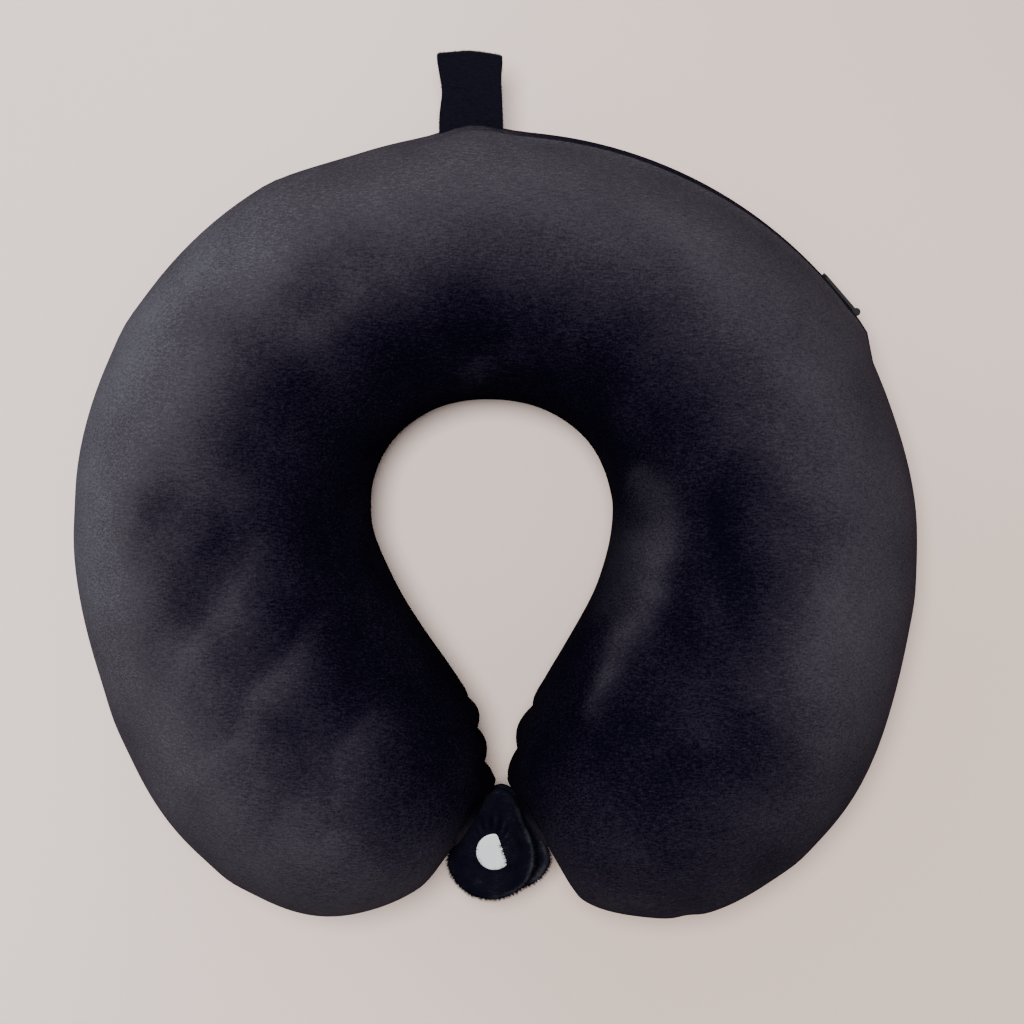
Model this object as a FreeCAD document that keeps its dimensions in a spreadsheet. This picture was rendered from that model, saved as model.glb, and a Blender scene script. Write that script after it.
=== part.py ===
import FreeCAD, Part
import math
import os
import Sketcher

# A U-shaped neck pillow: a moulded foam core in a knitted liner, inside a velour cover whose
# back rim opens with a zip. Two velour tabs with a snap fastener join the ends of the arms,
# and a loop of velour strap hangs from the back rim.
# Millimetres. X runs to the right, Y to the back (the hanging loop), Z up. The origin is the
# middle of the footprint, on the surface that the pillow lies on.

doc = FreeCAD.newDocument("neck_pillow")
sheet = doc.addObject("Spreadsheet::Sheet", "Sizes")

# One rib crosses the padded tube from the neck hole to the rim. Rib 0 is the middle of the
# back and rib 9 is the tip of an arm; the left arm mirrors the right one.
# hole x, hole y, rim x, rim y, half height, middle height
RIBS = [
    (0.0, 30.9, 0.0, 125.6, 50.0, 46.0),
    (22.3, 25.9, 70.2, 109.0, 50.5, 46.5),
    (38.6, 9.7, 127.0, 60.8, 53.5, 49.5),
    (42.6, -12.6, 149.8, -10.0, 56.5, 52.5),
    (38.8, -30.5, 140.6, -76.0, 59.0, 55.0),
    (33.0, -42.0, 118.0, -121.0, 60.0, 56.0),
    (24.0, -57.0, 79.0, -149.4, 59.5, 55.5),
    (13.5, -76.0, 49.0, -152.5, 53.0, 54.0),
    (7.0, -91.0, 27.0, -138.5, 41.0, 53.0),
    (4.8, -101.0, 15.4, -120.5, 23.0, 52.0),
]
RIB_FIELDS = ("hole_x", "hole_y", "rim_x", "rim_y", "half_high", "mid_high")
RIB_LETTERS = "abcdefghij"     # one for each rib, in the sizes' names

SIZES = {
    "cover_thick": 1.6,        # velour with its pile
    "liner_inset": 3.3,        # outer face of the liner, below the cover's outer face
    "liner_thick": 0.8,
    "foam_inset": 4.9,
    "seam_high": 48.0,         # height of the seam between the two cover panels
    "track_y": -31.1,          # centre of the circle that the back rim follows
    "track_radius": 156.7,
    "zip_high": 44.0,          # height of the zip's middle line
    "zip_slot_half": 9.0,      # half the height of the opening between the panels
    "zip_start_deg": 30.5,     # where the opening starts, round the track circle from +X
    "zip_span_deg": 86.5,
    "tape_inner": 155.9,       # radius of the tape's inner face
    "tape_thick": 0.6,
    "tape_edge_gap": 2.0,      # from the zip's middle line to each tape's beaded edge
    "teeth_start_deg": 36.0,
    "teeth_span_deg": 79.2,
    "tooth_count": 100,        # teeth on each tape
    "tooth_wide": 0.95,        # along the zip
    "tooth_tall": 2.5,         # across the zip, from past its middle line to the tape's edge
    "tooth_inner": 155.3,
    "tooth_deep": 1.8,
    "tooth_reach": 0.55,       # how far a tooth passes the middle line
    "slider_deg": 34.4,        # parked position of the slider
    "slider_long_deg": 4.2,
    "slider_half_high": 5.2,
    "plate_inner": 154.1,
    "plate_thick": 1.0,
    "front_plate_inner": 157.4,
    "bridge_half_high": 0.9,
    "bridge_long_deg": 0.9,
    "bar_radius": 0.6,         # bar that the pull hangs on
    "bar_stand_off": 1.6,      # from the front plate to the bar's axis
    "bar_half_high": 3.3,
    "post_thick": 0.9,
    "eye_clear": 0.07,         # play between the bar and the pull's eye
    "eye_wall": 0.8,
    "pull_long": 16.0,
    "pull_tuck_deg": 5.0,      # the pull's free end leans in towards the rim
    "pull_wide": 4.4,
    "pull_thick": 1.1,
    "pull_hole": 1.1,          # radius of the hole in the pull's free end
    "stop_deep": 2.0,
    "stop_wide": 1.6,
    "stop_tall": 1.5,
    "stop_gap_deg": 0.75,      # from a zip end's last part to its stops
    "loop_x": -4.6,            # the hanging loop is a little left of the middle
    "loop_wide": 23.0,
    "loop_thick": 1.8,
    "loop_gap": 5.2,           # between the loop's two plies
    "loop_high": 57.0,
    "loop_root_y": 129.4,      # centre of the loop's root, which it swings about
    "loop_end_y": 149.9,       # centre of the loop's outer fold
    "tab_root_y": -110.5,
    "tab_root_radius": 3.4,
    "tab_end_radius": 15.4,
    "ply_thick": 1.6,          # velour of a tab
    "stiffener_thick": 0.8,
    "stiffener_margin": 3.0,
    "front_tab_x": -2.6,
    "front_tab_y": -133.2,
    "front_tab_high": 50.4,    # underside of the front tab
    "rear_tab_x": 1.4,
    "rear_tab_y": -132.2,
    "rear_tab_high": 40.4,     # underside of the rear tab
    "snap_x": -2.4,
    "snap_y": -130.6,
    "snap_cap_radius": 7.0,
    "snap_cap_thick": 1.5,
    "snap_cap_round": 1.0,
    "post_radius": 1.5,        # cap's post, through the tab
    "post_hole_clear": 0.1,
    "socket_radius": 5.2,
    "socket_thick": 2.8,
    "socket_bore": 2.6,
    "socket_depth": 2.2,
    "stud_flange_radius": 4.9,
    "stud_flange_thick": 1.2,
    "stud_radius": 2.25,
    "stud_tall": 1.9,
    "arm_pivot_x": 96.0,       # each arm bends about this point
    "arm_pivot_y": 4.0,
    "arm_open_deg": 21.0,      # relief on the foam's outer half, a little over the arm's travel
    "kerf": 0.4,
    "room": 400.0,             # larger than the pillow, for cutting boxes
}


def fill_sheet():
    """Write every driving dimension to the sheet as plain numbers with aliases."""
    rows = []
    for number, rib in enumerate(RIBS):
        for field, value in zip(RIB_FIELDS, rib):
            rows.append((field + "_" + RIB_LETTERS[number], value))
    rows.extend(SIZES.items())
    for row, (alias, value) in enumerate(rows, start=1):
        sheet.set("A%d" % row, alias)
        sheet.set("B%d" % row, repr(value))
        sheet.setAlias("B%d" % row, alias)
    doc.recompute()


def bind(thing, **expressions):
    """Bind properties to sheet expressions; every word `S.` stands for the sheet."""
    for name, text in expressions.items():
        thing.setExpression(name, text.replace("S.", "Sizes."))


def place(thing, x="0", y="0", z="0", turn="0", pitch="0", roll="0"):
    bind(thing, Placement="placement(vector(%s; %s; %s); rotation(%s; %s; %s))"
         % (x, y, z, turn, pitch, roll))


def add(kind, name, **expressions):
    thing = doc.addObject(kind, name)
    bind(thing, **expressions)
    return thing


def cut(name, base, tool):
    thing = doc.addObject("Part::Cut", name)
    thing.Base = base
    thing.Tool = tool
    return thing


def fuse(name, *shapes):
    thing = doc.addObject("Part::MultiFuse", name)
    thing.Shapes = list(shapes)
    return thing


def common(name, *shapes):
    thing = doc.addObject("Part::MultiCommon", name)
    thing.Shapes = list(shapes)
    return thing


# ---------------------------------------------------------------- padded tube

CORE_LETTERS = RIB_LETTERS[:-1]     # the core stops short of the cover's tips


def rib_ellipse(name, letter, side, inset, tip):
    """One elliptical section of the tube. `side` is 1 on the right and -1 on the left, and
    `tip` moves an end section back along the tube by the inset."""
    terms = {
        "hx": "(%d * S.hole_x_%s)" % (side, letter),
        "rx": "(%d * S.rim_x_%s)" % (side, letter),
        "hy": "S.hole_y_" + letter,
        "ry": "S.rim_y_" + letter,
        "inset": inset,
        "back": "%d * (%s)" % (side * tip, inset),
    }
    terms["long"] = "hypot({rx} - {hx}; {ry} - {hy})".format(**terms)
    ellipse = add(
        "Part::Ellipse", name,
        MajorRadius="(S.half_high_%s - (%s)) * 1mm" % (letter, inset),
        MinorRadius="({long} / 2 - ({inset})) * 1mm".format(**terms),
    )
    place(
        ellipse,
        x="({hx} + {rx}) / 2 - {back} * ({ry} - {hy}) / {long}".format(**terms),
        y="({hy} + {ry}) / 2 + {back} * ({rx} - {hx}) / {long}".format(**terms),
        z="S.mid_high_" + letter,
        turn="atan2({ry} - {hy}; {rx} - {hx}) - 90deg".format(**terms),
        pitch="-90",
    )
    return ellipse


def tube(name, inset, letters=RIB_LETTERS):
    """The whole padded tube, `inset` inside the cover's outer face, flat underneath."""
    route = [(letter, 1) for letter in reversed(letters)]
    route += [(letter, -1) for letter in letters[1:]]
    sections = []
    for letter, side in route:
        tip = 1 if letter == letters[-1] else 0
        label = "%s_rib_%s%s" % (name, "r" if side > 0 else "l", letter)
        sections.append(rib_ellipse(label, letter, side, inset, tip))
    loft = doc.addObject("Part::Loft", name + "_loft")
    loft.Sections = sections
    loft.Solid = True
    loft.Ruled = False
    below = add("Part::Box", name + "_floor", Length="S.room", Width="S.room", Height="S.room")
    place(below, "-S.room / 2", "-S.room / 2", "(%s) - S.room" % inset)
    return cut(name, loft, below)


def block(name, low_x, low_y, low_z, turn="0"):
    thing = add("Part::Box", name, Length="S.room", Width="S.room", Height="S.room")
    place(thing, low_x, low_y, low_z, turn)
    return thing


def ring_sector(name, inner, outer, low, tall, start="S.zip_start_deg", span="S.zip_span_deg"):
    """A piece of ring about the rim's track circle."""
    whole = add("Part::Cylinder", name + "_outer", Radius=outer, Height=tall, Angle=span)
    hole = add("Part::Cylinder", name + "_inner", Radius=inner, Height="(%s) + 2" % tall)
    place(whole, "0", "S.track_y", low, start)
    place(hole, "0", "S.track_y", "(%s) - 1" % low)
    return cut(name, whole, hole)


def make_cover():
    shell = cut("cover_shell", tube("cover_outside", "0"), tube("cover_inside", "S.cover_thick"))
    slot = ring_sector(
        "zip_slot", "S.track_radius - 8", "S.track_radius + 8",
        "S.zip_high - S.zip_slot_half", "2 * S.zip_slot_half",
    )
    above = block("above_seam", "-S.room / 2", "-S.room / 2", "S.seam_high")
    slotted = cut("slotted_shell", shell, slot)
    return {
        "cover_top_panel": common("cover_top_panel", slotted, above),
        "cover_bottom_panel": cut("cover_bottom_panel", slotted, above),
    }


def make_liner():
    inside = "S.liner_inset + S.liner_thick"
    return {
        "inner_liner": cut("inner_liner", tube("liner_outside", "S.liner_inset", CORE_LETTERS),
                           tube("liner_inside", inside, CORE_LETTERS)),
    }


def make_foam():
    """The core bends where its sides begin. It is divided there, with a wedge of relief on the
    outer half that stands for the foam squeezed when an arm swings out."""
    core = tube("foam_whole", "S.foam_inset", CORE_LETTERS)
    right_below = block("right_below", "0", "S.arm_pivot_y - S.room", "-S.room / 2")
    left_below = block("left_below", "-S.room", "S.arm_pivot_y - S.room", "-S.room / 2")
    right_relief = block(
        "right_relief",
        "S.arm_pivot_x + S.room * sin(S.arm_open_deg)",
        "S.arm_pivot_y - S.room * cos(S.arm_open_deg)",
        "-S.room / 2", "S.arm_open_deg",
    )
    left_relief = block(
        "left_relief",
        "-S.arm_pivot_x - S.room * (cos(S.arm_open_deg) + sin(S.arm_open_deg))",
        "S.arm_pivot_y + S.room * (sin(S.arm_open_deg) - cos(S.arm_open_deg))",
        "-S.room / 2", "-S.arm_open_deg",
    )
    away = fuse("arms_and_relief", right_below, left_below, right_relief, left_relief)
    arm_top = "S.arm_pivot_y - S.kerf - S.room"
    return {
        "foam_core_back": cut("foam_core_back", core, away),
        "foam_core_right_arm": common("foam_core_right_arm", core,
                                      block("right_arm_zone", "0", arm_top, "-S.room / 2")),
        "foam_core_left_arm": common("foam_core_left_arm", core,
                                     block("left_arm_zone", "-S.room", arm_top, "-S.room / 2")),
    }


# ---------------------------------------------------------------- sketches and bodies

UPWARD = FreeCAD.Vector(0, 0, 1)


def plane_of(body, role):
    for feature in body.Origin.OriginFeatures:
        if feature.Role == role:
            return feature
    raise ValueError("no plane " + role)


def new_body(name):
    return doc.addObject("PartDesign::Body", name)


def sketch_on(body, role, name):
    sketch = body.newObject("Sketcher::SketchObject", name)
    sketch.AttachmentSupport = [(plane_of(body, role), "")]
    sketch.MapMode = "FlatFace"
    return sketch


def vector(x, y):
    return FreeCAD.Vector(x, y, 0)


def hold(sketch, kind, where, value, text):
    """A dimension of a sketch, driven by a sheet expression; `value` is its starting size."""
    index = sketch.addConstraint(Sketcher.Constraint(kind, *where, float(value)))
    sketch.setExpression("Constraints[%d]" % index, text.replace("S.", "Sizes."))


def rectangle(sketch, low_x, high_x, low_y, high_y):
    """A rectangle held by four distances from the sketch's axes, each a sheet expression."""
    first = sketch.GeometryCount
    corners = [vector(1, 1), vector(4, 1), vector(4, 3), vector(1, 3)]
    for start, end in zip(corners, corners[1:] + corners[:1]):
        sketch.addGeometry(Part.LineSegment(start, end), False)
    for edge in range(4):
        sketch.addConstraint(Sketcher.Constraint("Coincident", first + edge, 2,
                                                 first + (edge + 1) % 4, 1))
        direction = "Horizontal" if edge % 2 == 0 else "Vertical"
        sketch.addConstraint(Sketcher.Constraint(direction, first + edge))
    hold(sketch, "DistanceX", (first, 1), 1, low_x)
    hold(sketch, "DistanceY", (first, 1), 1, low_y)
    hold(sketch, "DistanceX", (first + 1, 2), 4, high_x)
    hold(sketch, "DistanceY", (first + 1, 2), 3, high_y)


def revolve(body, name, sketch, angle, both_ways=True):
    feature = body.newObject("PartDesign::Revolution", name)
    feature.Profile = sketch
    feature.ReferenceAxis = (sketch, ["V_Axis"])
    feature.Midplane = both_ways
    bind(feature, Angle=angle)
    sketch.Visibility = False
    return feature


# ---------------------------------------------------------------- zip

# from the track circle's centre to the axis of the bar that the pull hangs on
BAR_X = "S.front_plate_inner + S.plate_thick + S.bar_stand_off"


def turned(body, start):
    """Put a body at the track circle's centre, turned so that its +X points at the rim."""
    place(body, "0", "S.track_y", "S.zip_high", start)


def make_tapes():
    tapes = {}
    for name, low in (
        ("zip_tape_upper", "S.zip_high + S.tape_edge_gap"),
        ("zip_tape_lower", "S.zip_high - S.zip_slot_half"),
    ):
        tapes[name] = ring_sector(
            name, "S.tape_inner", "S.tape_inner + S.tape_thick", low,
            "S.zip_slot_half - S.tape_edge_gap",
        )
    return tapes


def make_teeth():
    """One tooth revolved in its place, then patterned along the zip; the two rows interlock."""
    rows = {}
    pitch = "S.teeth_span_deg / S.tooth_count"
    tooth_angle = "S.tooth_wide / S.track_radius * 180 / pi * 1deg"
    for name, low, high, shift in (
        ("zip_teeth_upper", "-S.tooth_reach", "S.tooth_tall - S.tooth_reach", "0"),
        ("zip_teeth_lower", "S.tooth_reach - S.tooth_tall", "S.tooth_reach", pitch + " / 2"),
    ):
        body = new_body(name)
        turned(body, "S.teeth_start_deg + " + shift)
        profile = sketch_on(body, "XZ_Plane", name + "_profile")
        rectangle(profile, "S.tooth_inner", "S.tooth_inner + S.tooth_deep", low, high)
        tooth = revolve(body, name + "_tooth", profile, tooth_angle)
        row = body.newObject("PartDesign::PolarPattern", name + "_row")
        row.Originals = [tooth]
        row.Axis = (plane_of(body, "Z_Axis"), [""])
        bind(row, Angle="(S.teeth_span_deg - %s) * 1deg" % pitch, Occurrences="S.tooth_count")
        body.Tip = row
        rows[name] = body
    return rows


def make_slider():
    body = new_body("zip_slider")
    turned(body, "S.slider_deg")
    bridge = sketch_on(body, "XZ_Plane", "slider_bridge_profile")
    rectangle(bridge, "S.plate_inner", "S.front_plate_inner + S.plate_thick",
              "-S.bridge_half_high", "S.bridge_half_high")
    # the bridge stands at the leading end of the slider, before the first tooth
    lead = "(S.slider_long_deg / 2) * 1deg"
    bridge_feature = revolve(body, "slider_bridge", bridge, lead, both_ways=False)
    bridge_feature.Reversed = True
    for name, inner in (("front_plate", "S.front_plate_inner"), ("back_plate", "S.plate_inner")):
        profile = sketch_on(body, "XZ_Plane", name + "_profile")
        rectangle(profile, inner, inner + " + S.plate_thick",
                  "-S.slider_half_high", "S.slider_half_high")
        revolve(body, name, profile, "S.slider_long_deg * 1deg")
    # the bridge is shortened to its real length by a groove behind it
    clear = sketch_on(body, "XZ_Plane", "slider_mouth_profile")
    rectangle(clear, "S.plate_inner + S.plate_thick", "S.front_plate_inner",
              "-S.slider_half_high", "S.slider_half_high")
    mouth = body.newObject("PartDesign::Groove", "slider_mouth")
    mouth.Profile = clear
    mouth.ReferenceAxis = (clear, ["V_Axis"])
    mouth.Reversed = True
    bind(mouth, Angle="(S.slider_long_deg / 2 - S.bridge_long_deg) * 1deg")
    post_reach = "S.front_plate_inner + S.plate_thick + S.bar_stand_off + S.bar_radius"
    for name, low, high in (
        ("upper_post", "S.bar_half_high - S.post_thick", "S.bar_half_high"),
        ("lower_post", "-S.bar_half_high", "S.post_thick - S.bar_half_high"),
    ):
        profile = sketch_on(body, "XZ_Plane", name + "_profile")
        rectangle(profile, "S.front_plate_inner + S.plate_thick / 2", post_reach, low, high)
        pad = body.newObject("PartDesign::Pad", name)
        pad.Profile = profile
        pad.Midplane = True
        bind(pad, Length="2 * S.bar_radius * 1mm")
    bar_sketch = sketch_on(body, "XY_Plane", "bar_profile")
    bar_sketch.addGeometry(Part.Circle(vector(160, 0), UPWARD, 1), False)
    bar_sketch.addConstraint(Sketcher.Constraint("PointOnObject", 0, 3, -1))
    hold(bar_sketch, "Radius", (0,), 1, "S.bar_radius")
    hold(bar_sketch, "DistanceX", (0, 3), 160, BAR_X)
    bar = body.newObject("PartDesign::Pad", "pull_bar")
    bar.Profile = bar_sketch
    bar.Midplane = True
    bind(bar, Length="2 * (S.bar_half_high - S.post_thick / 2) * 1mm")
    body.Tip = bar
    return {"zip_slider": body}


def make_pull():
    """A flat pull with an eye round the slider's bar, lying back along the closed zip."""
    eye_radius = "S.bar_radius + S.eye_clear + S.eye_wall"
    eye = add("Part::Cylinder", "pull_eye", Radius=eye_radius, Height="S.pull_wide")
    strip = add("Part::Box", "pull_strip", Length="S.pull_thick", Width="S.pull_long",
                Height="S.pull_wide")
    end = add("Part::Cylinder", "pull_end", Radius="S.pull_wide / 2", Height="S.pull_thick")
    bore = add("Part::Cylinder", "pull_bore", Radius="S.bar_radius + S.eye_clear",
               Height="S.pull_wide + 2")
    hole = add("Part::Cylinder", "pull_end_hole", Radius="S.pull_hole", Height="S.pull_thick + 2")
    low = "-S.pull_wide / 2"
    place(eye, z=low)
    place(bore, z=low + " - 1")
    place(strip, x="-S.pull_thick / 2", z=low)
    place(end, x="-S.pull_thick / 2", y="S.pull_long", pitch="90")
    place(hole, x="-S.pull_thick / 2 - 1", y="S.pull_long", pitch="90")
    solid = cut("zip_pull", fuse("pull_blank", eye, strip, end), fuse("pull_holes", bore, hole))
    # the bar's place, a few millimetres outside the track circle
    place(solid, x="(%s) * cos(S.slider_deg)" % BAR_X,
          y="S.track_y + (%s) * sin(S.slider_deg)" % BAR_X, z="S.zip_high",
          turn="S.slider_deg + S.pull_tuck_deg")
    return {"zip_pull": solid}


def stop_block(name, low, tall, start):
    """A small metal stop clamped on the zip's edge."""
    span = "S.stop_wide / S.track_radius * 180 / pi * 1deg"
    middle = "(S.tape_inner + S.tape_thick / 2)"
    return ring_sector(name, middle + " - S.stop_deep / 2", middle + " + S.stop_deep / 2",
                       low, tall, start, span)


def make_stops():
    before = "S.slider_deg - S.slider_long_deg / 2 - S.stop_gap_deg"
    after = "S.teeth_start_deg + S.teeth_span_deg + S.stop_gap_deg / 2"
    top = doc.addObject("Part::Compound", "zip_top_stops")
    top.Links = [
        stop_block("top_stop_upper", "S.zip_high + S.tape_edge_gap - S.stop_tall",
                   "S.stop_tall", before),
        stop_block("top_stop_lower", "S.zip_high - S.tape_edge_gap", "S.stop_tall", before),
    ]
    bottom = stop_block("zip_bottom_stop", "S.zip_high - S.tape_edge_gap",
                        "2 * S.tape_edge_gap", after)
    return {"zip_top_stops": top, "zip_bottom_stop": bottom}


# ---------------------------------------------------------------- hanging loop

def stadium(sketch, radius, radius_text):
    """A closed outline with two round ends, at the loop's root and at its fold."""
    first = sketch.GeometryCount
    root = vector(SIZES["loop_root_y"], 0)
    fold = vector(SIZES["loop_end_y"], 0)
    quarter = math.pi / 2
    for y, start, end in ((radius, root, fold), (-radius, fold, root)):
        offset = vector(0, y)
        sketch.addGeometry(Part.LineSegment(start + offset, end + offset), False)
    for centre, start_angle in ((fold, -quarter), (root, quarter)):
        circle = Part.Circle(centre, UPWARD, radius)
        sketch.addGeometry(Part.ArcOfCircle(circle, start_angle, start_angle + math.pi), False)
    for line, line_end, arc, arc_end in ((0, 2, 2, 2), (1, 1, 2, 1), (1, 2, 3, 2), (0, 1, 3, 1)):
        sketch.addConstraint(Sketcher.Constraint("Tangent", first + line, line_end,
                                                 first + arc, arc_end))
    for arc in (2, 3):
        sketch.addConstraint(Sketcher.Constraint("PointOnObject", first + arc, 3, -1))
    hold(sketch, "Radius", (first + 2,), radius, radius_text)
    hold(sketch, "DistanceX", (first + 2, 3), fold.x, "S.loop_end_y")
    hold(sketch, "DistanceX", (first + 3, 3), root.x, "S.loop_root_y")


def make_loop():
    """Two plies of strap between a rounded root and a rounded fold."""
    body = new_body("hanging_loop")
    place(body, "S.loop_x", "0", "S.loop_high")
    outline = sketch_on(body, "YZ_Plane", "loop_outline")
    half_gap = SIZES["loop_gap"] / 2
    stadium(outline, half_gap + SIZES["loop_thick"], "S.loop_gap / 2 + S.loop_thick")
    stadium(outline, half_gap, "S.loop_gap / 2")
    strap = body.newObject("PartDesign::Pad", "loop_strap")
    strap.Profile = outline
    strap.Midplane = True
    bind(strap, Length="S.loop_wide * 1mm")
    body.Tip = strap
    return {"hanging_loop": body}


# ---------------------------------------------------------------- tabs and snap

def drop_sketch(body, name, side, margin):
    """Outline of a tab: a round end and a narrow rounded root joined by tangent lines."""
    sketch = sketch_on(body, "XY_Plane", name)
    end_at = vector(SIZES[side + "_tab_x"], SIZES[side + "_tab_y"])
    root_at = vector(0, SIZES["tab_root_y"])
    end_radius = SIZES["tab_end_radius"]
    root_radius = SIZES["tab_root_radius"]
    sketch.addGeometry(Part.ArcOfCircle(Part.Circle(end_at, UPWARD, end_radius),
                                        math.radians(150), math.radians(390)), False)
    sketch.addGeometry(Part.ArcOfCircle(Part.Circle(root_at, UPWARD, root_radius),
                                        math.radians(30), math.radians(150)), False)
    for start_arc, start_end, other_arc, other_end in ((0, 2, 1, 1), (1, 2, 0, 1)):
        arcs = sketch.Geometry
        start = arcs[start_arc].EndPoint if start_end == 2 else arcs[start_arc].StartPoint
        finish = arcs[other_arc].StartPoint if other_end == 1 else arcs[other_arc].EndPoint
        line = sketch.addGeometry(Part.LineSegment(start, finish), False)
        sketch.addConstraint(Sketcher.Constraint("Tangent", start_arc, start_end, line, 1))
        sketch.addConstraint(Sketcher.Constraint("Tangent", line, 2, other_arc, other_end))
    hold(sketch, "Radius", (0,), end_radius, "S.tab_end_radius - (%s)" % margin)
    hold(sketch, "Radius", (1,), root_radius, "S.tab_root_radius - (%s) / 2" % margin)
    hold(sketch, "DistanceX", (0, 3), end_at.x, "S.%s_tab_x" % side)
    hold(sketch, "DistanceY", (0, 3), end_at.y, "S.%s_tab_y" % side)
    sketch.addConstraint(Sketcher.Constraint("PointOnObject", 1, 3, -2))
    hold(sketch, "DistanceY", (1, 3), root_at.y, "S.tab_root_y")
    sketch.addGeometry(Part.Circle(vector(SIZES["snap_x"], SIZES["snap_y"]), UPWARD, 2), False)
    hole = sketch.GeometryCount - 1
    hold(sketch, "Radius", (hole,), 2.0, "S.post_radius + S.post_hole_clear")
    hold(sketch, "DistanceX", (hole, 3), SIZES["snap_x"], "S.snap_x")
    hold(sketch, "DistanceY", (hole, 3), SIZES["snap_y"], "S.snap_y")
    return sketch


def make_tab(side):
    """The layers of one tab: two plies of velour with a stiffener between them."""
    base = "S.%s_tab_high" % side
    layers = {}
    low = base
    for layer, margin, thick in (
        ("under_ply", "0", "S.ply_thick"),
        ("stiffener", "S.stiffener_margin", "S.stiffener_thick"),
        ("upper_ply", "0", "S.ply_thick"),
    ):
        name = "%s_tab_%s" % (side, layer)
        body = new_body(name)
        place(body, z=low)
        outline = drop_sketch(body, name + "_outline", side, margin)
        pad = body.newObject("PartDesign::Pad", name + "_layer")
        pad.Profile = outline
        bind(pad, Length="(%s) * 1mm" % thick)
        body.Tip = pad
        layers[name] = body
        low += " + " + thick
    return layers


def disc(name, radius, low, thick):
    thing = add("Part::Cylinder", name, Radius=radius, Height=thick)
    place(thing, "S.snap_x", "S.snap_y", low)
    return thing


def snap_cap(name, face, upward):
    """A domed cap outside a tab, with the post that passes through the tab's plies."""
    through = "(2 * S.ply_thick + S.stiffener_thick)"
    cap_low = face if upward else "%s - S.snap_cap_thick" % face
    post_low = "%s - %s" % (face, through) if upward else face
    blank = disc(name + "_disc", "S.snap_cap_radius", cap_low, "S.snap_cap_thick")
    doc.recompute()
    rounded = doc.addObject("Part::Fillet", name + "_dome")
    rounded.Base = blank
    outermost = max if upward else min
    edge_heights = {
        number: edge.CenterOfMass.z
        for number, edge in enumerate(blank.Shape.Edges, start=1)
        if edge.Curve.TypeId == "Part::GeomCircle"
    }
    rim = outermost(edge_heights, key=edge_heights.get)
    rounded.Edges = [(rim, SIZES["snap_cap_round"], SIZES["snap_cap_round"])]
    post = disc(name + "_post", "S.post_radius", post_low, through)
    return fuse(name, rounded, post)


def make_snap():
    through = "2 * S.ply_thick + S.stiffener_thick"
    front_face = "S.front_tab_high + " + through
    socket_low = "S.front_tab_high - S.socket_thick"
    stud_low = "S.rear_tab_high + " + through
    socket = cut(
        "snap_socket",
        disc("socket_blank", "S.socket_radius", socket_low, "S.socket_thick"),
        disc("socket_bore", "S.socket_bore", socket_low, "S.socket_depth"),
    )
    stud = fuse(
        "snap_stud",
        disc("stud_flange", "S.stud_flange_radius", stud_low, "S.stud_flange_thick"),
        disc("stud_nub", "S.stud_radius", stud_low, "S.stud_flange_thick + S.stud_tall"),
    )
    return {
        "snap_cap_front": snap_cap("snap_cap_front", front_face, True),
        "snap_socket": socket,
        "snap_stud": stud,
        "snap_cap_rear": snap_cap("snap_cap_rear", "S.rear_tab_high", False),
    }


# ---------------------------------------------------------------- build and write

def build():
    fill_sheet()
    pieces = {}
    for made in (
        make_foam(), make_liner(), make_cover(), make_tapes(), make_teeth(), make_slider(),
        make_pull(), make_stops(), make_loop(), make_tab("front"), make_tab("rear"), make_snap(),
    ):
        pieces.update(made)
    doc.recompute()
    return pieces


def check(pieces):
    """Stop before anything is written if an object failed or a piece is empty or broken."""
    for thing in doc.Objects:
        if "Invalid" in thing.State or "Error" in thing.State:
            raise RuntimeError("%s failed: %s" % (thing.Name, thing.getStatusString()))
    for name, piece in pieces.items():
        shape = piece.Shape
        if shape.isNull() or not shape.isValid() or not shape.Solids:
            raise RuntimeError("%s has no sound shape" % name)


def write(pieces):
    os.makedirs("parts", exist_ok=True)
    for name, piece in pieces.items():
        piece.Label = name
        piece.Shape.exportStep("parts/%s.step" % name)
        box = piece.Shape.BoundBox
        print("%-22s %2d solids  %9.1f mm3  x %7.1f %7.1f  y %7.1f %7.1f  z %6.1f %6.1f" % (
            name, len(piece.Shape.Solids), piece.Shape.Volume,
            box.XMin, box.XMax, box.YMin, box.YMax, box.ZMin, box.ZMax))


PIECES = build()
check(PIECES)
write(PIECES)
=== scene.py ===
import math

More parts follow.
